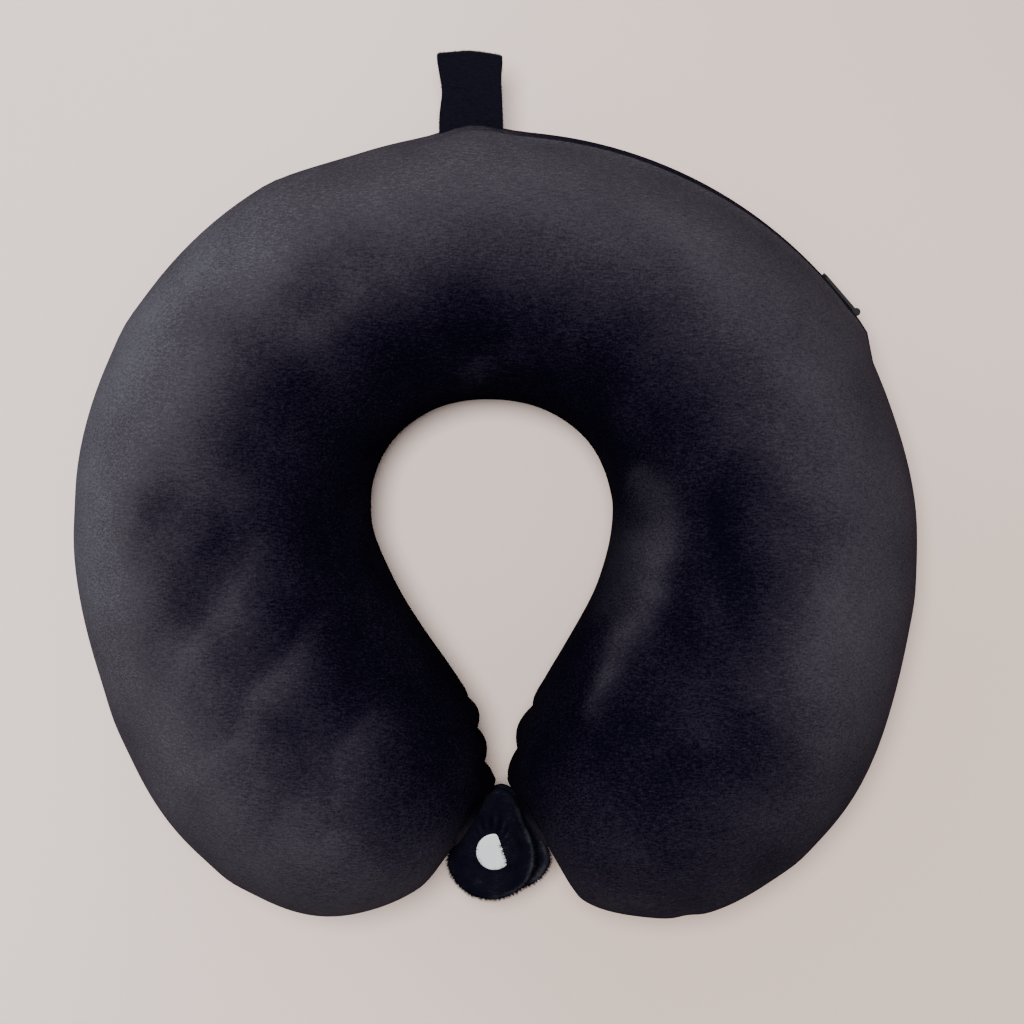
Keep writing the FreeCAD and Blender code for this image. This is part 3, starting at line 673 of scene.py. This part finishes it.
# strokes of a hand in the pile: x, y, length and width in millimetres, direction in
# degrees, strength
BRUSHED = [
    (-84.0, -34.0, 20.0, 7.0, 62.0, 0.14), (-98.0, -52.0, 22.0, 6.0, 66.0, 0.10),
    (-72.0, -62.0, 21.0, 6.5, 55.0, 0.20), (-86.0, -78.0, 18.0, 5.5, 58.0, 0.12),
    (-48.0, -90.0, 18.0, 6.0, 52.0, 0.18), (-66.0, -102.0, 18.0, 6.0, 60.0, 0.10),
    (-58.0, -116.0, 15.0, 6.0, 40.0, 0.08), (50.0, -2.0, 9.0, 6.0, 20.0, 0.14),
    (57.0, -15.0, 14.0, 10.0, 245.0, 0.22), (53.0, -30.0, 14.0, 13.0, 260.0, 0.23),
    (50.0, -43.0, 13.0, 12.0, 245.0, 0.23), (38.5, -59.0, 15.0, 7.0, 63.0, 0.25),
    (31.5, -71.0, 11.0, 5.5, 63.0, 0.22), (-118.0, -12.0, 15.0, 8.0, 100.0, -0.18),
    (-110.0, -34.0, 15.0, 9.0, 70.0, -0.10), (-96.0, -18.0, 13.0, 6.0, 60.0, -0.10),
    (-118.0, -52.0, 18.0, 9.0, 100.0, -0.10),
    (80.0, -26.0, 26.0, 9.0, 95.0, -0.17), (110.0, -60.0, 30.0, 20.0, 80.0, 0.10),
    (74.0, -92.0, 24.0, 14.0, 20.0, -0.14), (-104.0, -96.0, 26.0, 12.0, 125.0, 0.08),
    (-2.0, 39.0, 8.0, 3.5, 10.0, 0.10), (10.0, 44.0, 6.0, 3.0, 150.0, 0.07),
    (-54.0, 62.0, 16.0, 9.0, 40.0, 0.14), (-84.0, -6.0, 16.0, 9.0, 70.0, 0.06),
    (74.0, -126.0, 22.0, 14.0, 20.0, -0.07),
]


def paint_light_and_brushing(points, angle):
    """Painted light and shade for the velour's colour: painted light on the outer slopes,
    painted shade towards the hole and the tips, with patches where the pile was brushed."""
    x, y, z = points[..., 0], points[..., 1], points[..., 2]
    wave = np.sin(x / 8.3 + 1.9 * np.sin(y / 14.7)) + 0.7 * np.sin(y / 5.3 + 1.6 * np.sin(x / 7.9))
    cross = np.sin(y / 9.1 + 1.7 * np.sin(x / 12.3)) + 0.7 * np.sin(x / 4.9 + 1.8 * np.sin(y / 6.7))
    out = (1 + np.cos(angle)) / 2 + 0.02 * wave + 0.012 * cross
    bearing = np.degrees(np.arctan2(y + 20.0, x))
    top, right, left, front_right = (
        bell(from_bearing(bearing, middle), 0.0, width)
        for middle, width in ((90.0, 60.0), (0.0, 55.0), (165.0, 55.0), (-62.0, 40.0)))
    # painted light, stronger on the left and weaker at the front right
    lit_amount = 0.52 + 0.30 * left + 0.05 * top - 0.22 * front_right
    dark, light = 0.22 - 0.04 * top - 0.12 * right, 1.0 - 0.16 * top - 0.1 * right
    painted_light_and_brushing = 0.08 + lit_amount * rise(out, dark, light)
    x, y = x + 2.6 * wave, y + 2.6 * cross
    # painted shade on the strip above the zip, which faces down, and a painted highlight along the line
    # where it is sewn on
    strip = rise(bearing, 24.0, 30.0) * (1 - rise(bearing, 78.0, 98.0)) * rise(out, 0.8, 0.95)
    shade = rise(FACING_HEIGHT - z, -1.0, 1.6) * rise(z, 20.0, 38.0)
    painted_light_and_brushing = painted_light_and_brushing + strip * (0.20 * bell(z, FACING_HEIGHT + 2.6, 2.0) - 0.42 * shade)
    for px, py, long, wide, turn, strength in BRUSHED:
        cos, sin = math.cos(math.radians(turn)), math.sin(math.radians(turn))
        along = (x - px) * cos + (y - py) * sin
        aside = (y - py) * cos - (x - px) * sin
        aside = np.where(aside > 0, 1.6 * aside, 0.75 * aside)
        painted_light_and_brushing = painted_light_and_brushing + strength * np.exp(-np.abs(along / long) ** 3 - (aside / wide) ** 2)
    return np.clip(painted_light_and_brushing, 0.0, 1.0)


def panel(name, tube, series, start, end, thick, side):
    points, angle = tube.grid(start, end)
    if series is not None:
        floor = rise(points[..., 2], 1.0, 8.0)
        points = points + grid_normals(points) * (ripple(series, angle) * floor)[..., None]
    outer = sculpt(tube, points, angle)
    normal = grid_normals(outer)
    normal[0], normal[-1] = normal[1], normal[-2]
    inner = outer - normal * thick
    inner[..., 2] = np.maximum(inner[..., 2], tube.depth + 0.4)
    # painted light and shade, with brushing marks, for the cover's colour
    painted_light_and_brushing = paint_light_and_brushing(points, angle)
    middle = int(np.argmin(np.abs(tube.at)))
    part = slice(middle, None) if side == "right" else slice(None, middle + 1)
    return shell(name, outer[part] * MM, inner[part] * MM, painted_light_and_brushing[part])


def make_cover():
    material = velour("velour", COVER_SHADE_TO_LIGHT, 0.003)
    tube = Tube()
    series = simulate_cloth(tube)
    zipped = tube.in_zip()
    top_edge = SEAM_HEIGHT + (ZIP_HEIGHT + ZIP_GAP - SEAM_HEIGHT) * zipped
    low_edge = SEAM_HEIGHT + (ZIP_HEIGHT - ZIP_GAP - SEAM_HEIGHT) * zipped
    hole_seam = tube.angle_at(SEAM_HEIGHT, True)
    rim_top, rim_low = tube.angle_at(top_edge, False), tube.angle_at(low_edge, False)
    for side in ("right", "left"):
        top = panel("cover_top_" + side, tube, series, rim_top, hole_seam, COVER_THICK, side)
        low = panel("cover_bottom_" + side, tube, series, hole_seam - math.tau, rim_low,
                    COVER_THICK, side)
        for piece, node in ((top, "cover_top_panel"), (low, "cover_bottom_panel")):
            finish_cloth(piece, material)
            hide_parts(node)
            bend(piece, side)


def make_core():
    layers = (
        ("liner", LINER_DEPTH, LINER_THICK, woven("liner_knit", KNIT_DARK, KNIT_LIGHT, 0.0012),
         "liner_knit"),
        ("foam_core", FOAM_DEPTH, FOAM_THICK, foam("foam"), "foam"),
    )
    for name, depth, thick, material, slot in layers:
        tube = Tube(depth)
        around = np.zeros_like(tube.half)
        points, angle = tube.grid(around, around + math.tau * (1 - 1 / CORE_AROUND), CORE_AROUND)
        middle = int(np.argmin(np.abs(tube.at)))
        normal = grid_normals(points)
        # the filling gives way behind the zip and at the steep tips
        behind = tube.in_zip(math.radians(3.0))[:, None] * rise(np.cos(angle), 0.3, 0.9)
        steep = rise(np.abs(tube.at[:, None]), 6.8, 8.2)
        give = FILLING_GIVES * behind * bell(points[..., 2], ZIP_HEIGHT, 9.0) + 1.25 * depth * steep
        points = points - normal * give[..., None]
        for side in ("right", "left"):
            part = slice(middle, None) if side == "right" else slice(None, middle + 1)
            inner = points - normal * thick
            piece = shell(name + "_" + side, points[part] * MM, inner[part] * MM,
                          np.zeros(points[part].shape[:2]), closed=True)
            finish_cloth(piece, material)
            if name == "liner":
                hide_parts("inner_liner")
            else:
                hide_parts("foam_core_back", "foam_core_" + side + "_arm")
            bend(piece, side)


def bend(piece, side):
    sign = 1 if side == "right" else -1
    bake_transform(piece, "root", side + "_arm", start=(sign * 0.096, 0.029, 0.052),
             end=(sign * 0.096, -0.031, 0.052))


# ---------------------------------------------------------------- strap, tabs, zip

def sweep(name, line, width, thick, across, painted_light_and_brushing, corners=20):
    """A flat strap along a line of points in millimetres: across is its width's direction."""
    line = np.asarray(line, float)
    along = np.gradient(line, axis=0)
    along /= np.linalg.norm(along, axis=1)[:, None]
    across = np.asarray(across, float)
    up = np.cross(along, across)
    turn = np.linspace(0, math.tau, corners, endpoint=False)
    cos, sin = np.cos(turn), np.sin(turn)
    boxy = 0.28            # 1 is an ellipse, and less is boxier
    flat = np.sign(cos) * np.abs(cos) ** boxy
    high = np.sign(sin) * np.abs(sin) ** (3 * boxy)
    rings = (line[:, None] + across * (flat * np.asarray(width)[:, None] / 2)[..., None]
             + up[:, None] * (high * np.asarray(thick)[:, None] / 2)[..., None])
    count = len(line)
    index = np.arange(count * corners).reshape(count, corners)
    index = np.hstack([index, index[:, :1]])
    ends = [index[0, :-1][::-1].tolist(), index[-1, :-1].tolist()]
    faces = grid_quads(index)[:, [0, 3, 2, 1]].tolist() + ends
    piece = new_piece(name, rings.reshape(-1, 3) * MM, faces)
    paint(piece, "painted_light_and_brushing", np.broadcast_to(painted_light_and_brushing, (count, corners)).ravel())
    weld(piece)
    return piece


STRAP_X = -4.6
STRAP_HEIGHT = 57.0
STRAP_FOLD = 149.9         # y of the middle of its fold
STRAP_ROOT = 121.0
STRAP_APART = 3.4          # from its middle height to each ply's middle
STRAP_WIDTH = 22.8
STRAP_THICK = 1.9
STRAP_FIBRES = 900
STRAP_FIBRE_LENGTH = 0.9
FIBRE_RADIUS = 0.07
FIBRE_LEAN = 0.35          # how much fibres stray from the surface's normal
FIBRE_ROOT = 0.15          # how deep they start


def make_strap():
    straight = np.linspace(STRAP_ROOT, STRAP_FOLD, 26)
    fold = np.linspace(-math.pi / 2, math.pi / 2, 17)[1:-1]
    y = np.concatenate([straight, STRAP_FOLD + STRAP_APART * np.cos(fold), straight[::-1]])
    z = np.concatenate([0 * straight - 1, np.sin(fold), 0 * straight + 1]) * STRAP_APART
    z *= 1 - 0.25 * bell(y, 138.0, 8.0)
    sag = 0.5 * np.sin((y - STRAP_ROOT) / 9.0)
    x = STRAP_X - 0.25 + 0.5 * bell(y, 139.0, 6.0)
    line = np.stack([x + 0 * y, y, STRAP_HEIGHT + z + sag], 1)
    width = STRAP_WIDTH - 1.5 * bell(y, 140.0, 7.0) + 0.5 * rise(y, 147.0, 151.0)
    thick = STRAP_THICK + 0.25 * np.sin(y * 1.7)
    material = velour("strap_velour", STRAP_SHADE_TO_LIGHT, 0.06)
    piece = sweep("strap", line, width, thick, (1.0, 0.0, 0.0), 0.25)
    points = places(piece)
    # the fold's far end isn't quite straight
    far = rise(points[:, 1], 0.140, 0.152)
    aside = points[:, 0] / MM - STRAP_X
    points[:, 1] += far * MM * (0.5 * np.cos(aside * 0.27) - 0.055 * aside - 0.4)
    piece.data.vertices.foreach_set("co", points.ravel())
    add_pile(piece, STRAP_FIBRES, lambda p, n: (np.abs(n[:, 0]) > 0.75) | (p[:, 1] > 0.1515),
             STRAP_FIBRE_LENGTH, 0.3)
    finish_cloth(piece, material)
    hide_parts("hanging_loop")
    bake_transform(piece, "root", "loop", start=(0, 0.1255, 0.057), end=(0, 0.1325, 0.057))


def add_pile(piece, count, wanted, length, painted_light_and_brushing):
    """Adds short loose fibres of pile, in millimetres, on the faces that are wanted."""
    mesh = piece.data
    faces = [p for p in mesh.polygons if len(p.vertices) <= 4]
    centres = np.array([p.center for p in faces])
    normals = np.array([p.normal for p in faces])
    areas = np.array([p.area for p in faces]) * wanted(centres, normals)
    chosen = rng.choice(len(faces), count, p=areas / areas.sum())
    spots = places(piece)
    tips, roots = [], []
    for i in chosen:
        corners = spots[list(faces[i].vertices)]
        share = rng.dirichlet(np.ones(len(corners)))
        root = share @ corners - normals[i] * FIBRE_ROOT * MM
        lean = rng.normal(0, FIBRE_LEAN, 3)
        way = normals[i] + lean
        way /= np.linalg.norm(way)
        roots.append(root)
        tips.append(root + way * length * MM * rng.uniform(0.5, 1.15))
    roots, tips = np.array(roots), np.array(tips)
    side = np.cross(tips - roots, rng.normal(0, 1, roots.shape))
    side /= np.linalg.norm(side, axis=1)[:, None]
    other = np.cross(tips - roots, side)
    other /= np.linalg.norm(other, axis=1)[:, None]
    half = FIBRE_RADIUS * MM
    ring = [roots + side * half, roots - side * half / 2 + other * half,
            roots - side * half / 2 - other * half]
    work = bmesh.new()
    work.from_mesh(mesh)
    layer = work.verts.layers.float["painted_light_and_brushing"]
    for a, b, c, d in zip(*ring, tips):
        corners = [work.verts.new(tuple(map(float, v))) for v in (a, b, c, d)]
        for corner in corners:
            corner[layer] = painted_light_and_brushing
        for trio in ((0, 2, 1), (0, 1, 3), (1, 2, 3), (2, 0, 3)):
            work.faces.new([corners[k] for k in trio])
    bmesh.ops.recalc_face_normals(work, faces=work.faces)
    work.to_mesh(mesh)
    work.free()
    mesh.update()


# the tabs' outlines, x and y in millimetres
FRONT_TAB = [(-2.6, -108.9), (1.2, -108.5), (4.2, -110.4), (6.4, -114.6), (8.9, -121.3),
             (11.2, -126.9), (12.2, -132.4), (11.0, -139.0), (6.0, -145.0), (-3.4, -148.0),
             (-12.4, -145.2), (-17.4, -139.6), (-18.9, -133.8), (-17.0, -127.0),
             (-13.6, -120.0), (-8.6, -112.6)]
REAR_TAB = [(-3.4, -109.6), (1.0, -107.9), (5.4, -110.6), (10.2, -118.0), (14.2, -125.6),
            (17.0, -132.2), (17.2, -137.4), (13.2, -142.8), (6.6, -145.6), (-1.4, -146.4),
            (-8.4, -143.6), (-12.6, -138.0), (-13.4, -130.6), (-10.4, -122.6), (-6.4, -115.6)]
FRONT_FACE = 54.9          # the front tab's upper face above the floor
PLY_THICK = 0.9
PLY_ROWS = 26              # from the opening to the edge
PLY_AROUND = 96
TAB_FIBRES = 1500
TAB_FIBRE_LENGTH = 1.7
SNAP_OPENING = 4.2         # the radius of the hole in a ply round the socket or stud


def loop_curve(points, count):
    """A smooth closed curve through points."""
    points = np.asarray(points, float)
    wrapped = np.vstack([points[-4:], points, points[:5]])
    return spline(wrapped, 4 + np.arange(count) / count * len(points))


def ply(name, outline, centre, opening, edge_height, face_height, lift):
    """One ply of a tab: a ring of velour from an opening round the snap to the tab's edge.
    lift(spread, angle, x, y) is added to its height, in millimetres; spread is 0 at the
    opening and 1 at the edge."""
    edge = loop_curve(outline, PLY_AROUND)
    offset = edge - np.asarray(centre)
    angle = np.arctan2(offset[:, 1], offset[:, 0])
    reach = np.linalg.norm(offset, axis=1)
    inner = opening(angle)
    spread = 1 - (1 - np.linspace(0, 1, PLY_ROWS)[:, None]) ** 1.35
    radius = inner + (reach - inner) * spread
    x = centre[0] + radius * np.cos(angle)
    y = centre[1] + radius * np.sin(angle)
    round_edge = np.sqrt(np.clip(1 - spread**3.2, 0, 1))
    side = 1.0 if face_height > edge_height else -1.0
    z = edge_height + (face_height - edge_height) * round_edge + lift(spread, angle, x, y)
    outer = np.stack([x, y, z], -1)
    back = outer.copy()
    back[..., 2] -= side * PLY_THICK * np.clip(round_edge + 0.12, 0, 1)
    # painted highlight along the tab's edge, stronger on its right, and painted highlights on the puckers
    # near the opening
    right = rise(np.cos(angle + 0.25), 0.0, 0.7)
    painted_light_and_brushing = 0.31 + (0.10 + 0.32 * right) * bell(spread, 0.91, 0.075)
    painted_light_and_brushing = painted_light_and_brushing + 0.26 * np.cos(angle * 21) * bell(spread, 0.3, 0.13) * rise(np.sin(angle), 0.4, 0.95)
    if side < 0:
        outer, back = outer[:, ::-1], back[:, ::-1]
    return shell(name, outer * MM, back * MM, painted_light_and_brushing * np.ones_like(z), closed=True)


def finish_tab(piece, node, tab, arm, material):
    add_pile(piece, TAB_FIBRES, lambda p, n: (p[:, 1] < -0.128) & (np.abs(n[:, 2]) < 0.72),
             TAB_FIBRE_LENGTH, 0.45)
    finish_cloth(piece, material)
    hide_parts(node)
    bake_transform(piece, arm, tab, start=(0, -0.1085, 0.05), end=(0, -0.1145, 0.05))


def make_tabs():
    material = velour("tab_velour", TAB_SHADE_TO_LIGHT, 0.003, patch=0.9, grain=0.8, patch_scale=150.0)
    low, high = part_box("snap_cap_front")
    cap = np.array((low + high) / 2)[:2] / MM
    cap_radius = (high.x - low.x) / 2 / MM
    cap_top = high.z / MM

    def cap_opening(angle):
        # the pile closes over the cap's right side
        facing = np.cos(angle - math.radians(18))
        fold = np.where(facing > 0.3, 3.1 / np.maximum(facing, 1e-3), 99.0)
        return -np.log(np.exp(-fold * 1.7) + np.exp(-(cap_radius - 0.6) * 1.7)) / 1.7

    def front_lift(spread, angle, x, y):
        covering = rise(cap_radius - cap_opening(angle), 0.3, 1.2)
        away = np.hypot(x - cap[0], y - cap[1])
        over = 1 - rise(away, cap_radius + 0.2, cap_radius + 4.0)
        lip = (covering * over * (cap_top + 0.75 - FRONT_FACE)
               + (1 - covering) * 0.9 * bell(spread, 0.0, 0.1))
        gathered = bell(spread, 0.2, 0.14) * rise(np.sin(angle), -0.2, 0.9)
        pucker = 0.22 * np.cos(angle * 19) * gathered
        return lip + pucker + 0.9 * bell(spread, 0.55, 0.3) * (1 - bell(y, -112.0, 6.0))

    def plain(spread, angle, x, y):
        return 0.08 * np.cos(angle * 9) * bell(spread, 0.6, 0.3)

    def round_opening(radius):
        return lambda angle: radius + 0 * angle

    parts = (
        ("front_tab_upper", FRONT_TAB, cap_opening, 52.4, FRONT_FACE, front_lift,
         "front_tab", "left_arm"),
        ("front_tab_under", FRONT_TAB, round_opening(SNAP_OPENING), 52.3, 50.0, plain,
         "front_tab", "left_arm"),
        ("rear_tab_upper", REAR_TAB, round_opening(SNAP_OPENING), 42.4, 44.8, plain,
         "rear_tab", "right_arm"),
        ("rear_tab_under", REAR_TAB, round_opening(cap_radius - 0.3), 42.3, 40.0, plain,
         "rear_tab", "right_arm"),
    )
    for name, outline, opening, edge, face, lift, tab, arm in parts:
        piece = ply(name, outline, cap, opening, edge, face, lift)
        finish_tab(piece, name + "_ply", tab, arm, material)


STITCH_PITCH = 3.2
STITCH_LENGTH = 2.3
STITCH_INSET = 2.6         # from each panel's edge
STITCH_SINK = 0.35         # how far its ends go in
STITCH_RADIUS = 0.24
STITCH_RINGS = 6
STITCH_SIDES = 6


def make_stitches():
    """Two rows of stitches that hold the zip's tapes to the panels."""
    thread = woven("thread", (0.018, 0.018, 0.022), (0.05, 0.05, 0.06), 0.0004)
    points, faces = [], []
    sides = STITCH_SIDES
    share = np.linspace(-1, 1, STITCH_RINGS)
    reach = ZIP_RADIUS + 0.05 - STITCH_SINK * share ** 2
    girth = STITCH_RADIUS * np.sqrt(np.clip(1.05 - share ** 4, 0, 1))
    offset = ZIP_GAP + STITCH_INSET
    for height in (ZIP_HEIGHT - offset, ZIP_HEIGHT + offset):
        for start in np.arange(ZIP_START, ZIP_END, STITCH_PITCH / ZIP_RADIUS):
            here = start + np.linspace(0, STITCH_LENGTH / ZIP_RADIUS, STITCH_RINGS)
            base = len(points)
            for turn, r, g in zip(here, reach, girth):
                for k in range(sides):
                    roll = math.tau * k / sides
                    out = r + g * math.cos(roll)
                    points.append((out * math.cos(turn), ZIP_CENTRE[1] + out * math.sin(turn),
                                   height + g * math.sin(roll)))
            for ring in range(STITCH_RINGS - 1):
                for k in range(sides):
                    a, b = base + ring * sides + k, base + ring * sides + (k + 1) % sides
                    faces.append((a, b, b + sides, a + sides))
            faces.append([base + k for k in range(sides)][::-1])
            faces.append([base + (STITCH_RINGS - 1) * sides + k for k in range(sides)])
    piece = new_piece("zip_stitches", np.array(points) * MM, faces)
    weld(piece)
    piece.data.materials.append(thread)
    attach(piece, "root")


def dress_nodes():
    snap = plastic("snap_plastic", (0.60, 0.63, 0.67), 0.32)
    steel = metal("zip_metal", (0.10, 0.10, 0.11), 0.3)
    painted = plastic("zip_paint", (0.006, 0.006, 0.008), 0.5, 0.12)
    teeth = plastic("zip_teeth", (0.03, 0.03, 0.034), 0.4)
    tape = woven("zip_tape", (0.006, 0.006, 0.008), (0.03, 0.03, 0.034), 0.0007)
    stiffener = woven("stiffener", (0.005, 0.005, 0.007), (0.014, 0.014, 0.017), 0.0008)
    for name, material in (("snap_cap_front", snap), ("snap_socket", snap), ("snap_stud", snap),
                           ("snap_cap_rear", snap), ("zip_slider", painted), ("zip_pull", painted),
                           ("zip_top_stops", steel), ("zip_bottom_stop", steel),
                           ("zip_teeth_upper", teeth), ("zip_teeth_lower", teeth),
                           ("zip_tape_upper", tape), ("zip_tape_lower", tape),
                           ("front_tab_stiffener", stiffener), ("rear_tab_stiffener", stiffener)):
        for slot in NODES[name].material_slots:
            slot.material = material


make_camera()
make_light()
make_floor()
make_cover()
make_core()
make_strap()
make_tabs()
make_stitches()
dress_nodes()
